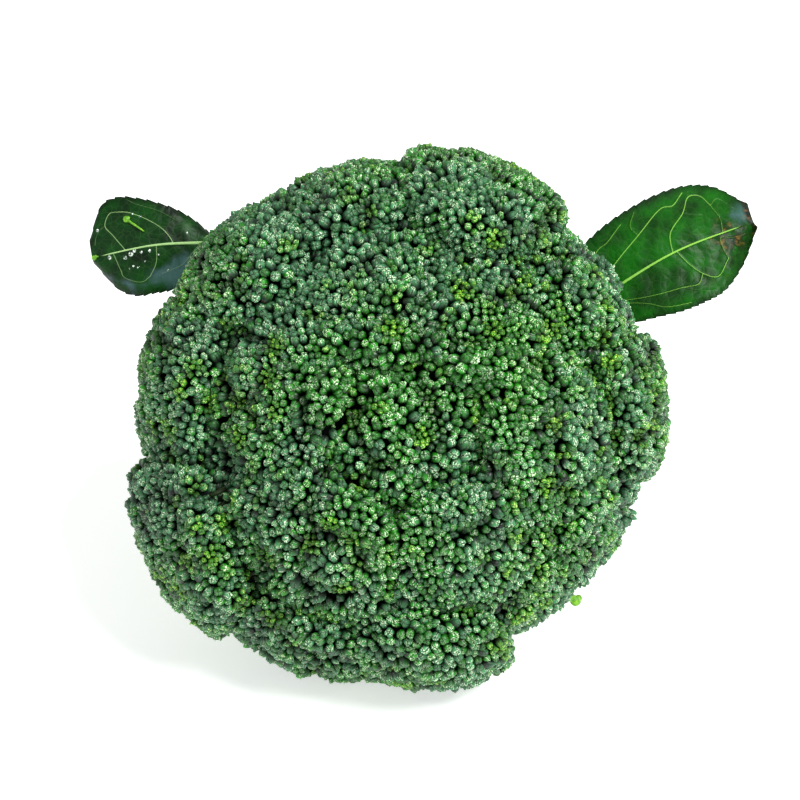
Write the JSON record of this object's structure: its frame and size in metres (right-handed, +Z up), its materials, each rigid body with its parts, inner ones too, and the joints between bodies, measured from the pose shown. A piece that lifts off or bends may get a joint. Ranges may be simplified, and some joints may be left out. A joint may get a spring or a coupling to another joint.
{
  "type": "broccoli head",
  "caption": "Head of green broccoli lying on its side: domed crown of budded florets on a thick cut stalk, with two small leaves behind the crown.",
  "frame": {"origin": "middle of the bottom of the bounding box, on the surface the head lies on", "axes": "+X to the right when the crown is seen face on, along the box's longest side; +Y from the crown back towards the cut end of the stalk; +Z up"},
  "size_m": [0.1922, 0.1522, 0.1346],
  "materials": {
    "flesh": "satin, smooth green skin, paler moist flesh at the cut",
    "buds": "matte, waxy blue-green bloom",
    "leaf": "satin to glossy, wet"
  },
  "bodies": {
    "root": {"stalk": "flesh", "floret_middle": "buds", "floret_inner_top": "buds", "floret_inner_upper_right": "buds", "floret_inner_right": "buds", "floret_inner_lower_right": "buds", "floret_inner_lower_left": "buds", "floret_inner_left": "buds", "floret_top": "buds", "floret_top_left": "buds", "floret_upper_left": "buds", "floret_left": "buds", "floret_lower_left": "buds", "floret_bottom_left": "buds", "floret_bottom": "buds", "floret_bottom_right": "buds", "floret_lower_right": "buds", "floret_right": "buds", "floret_upper_right": "buds", "leaf_left": "leaf", "leaf_right": "leaf"}
  },
  "joints": []
}
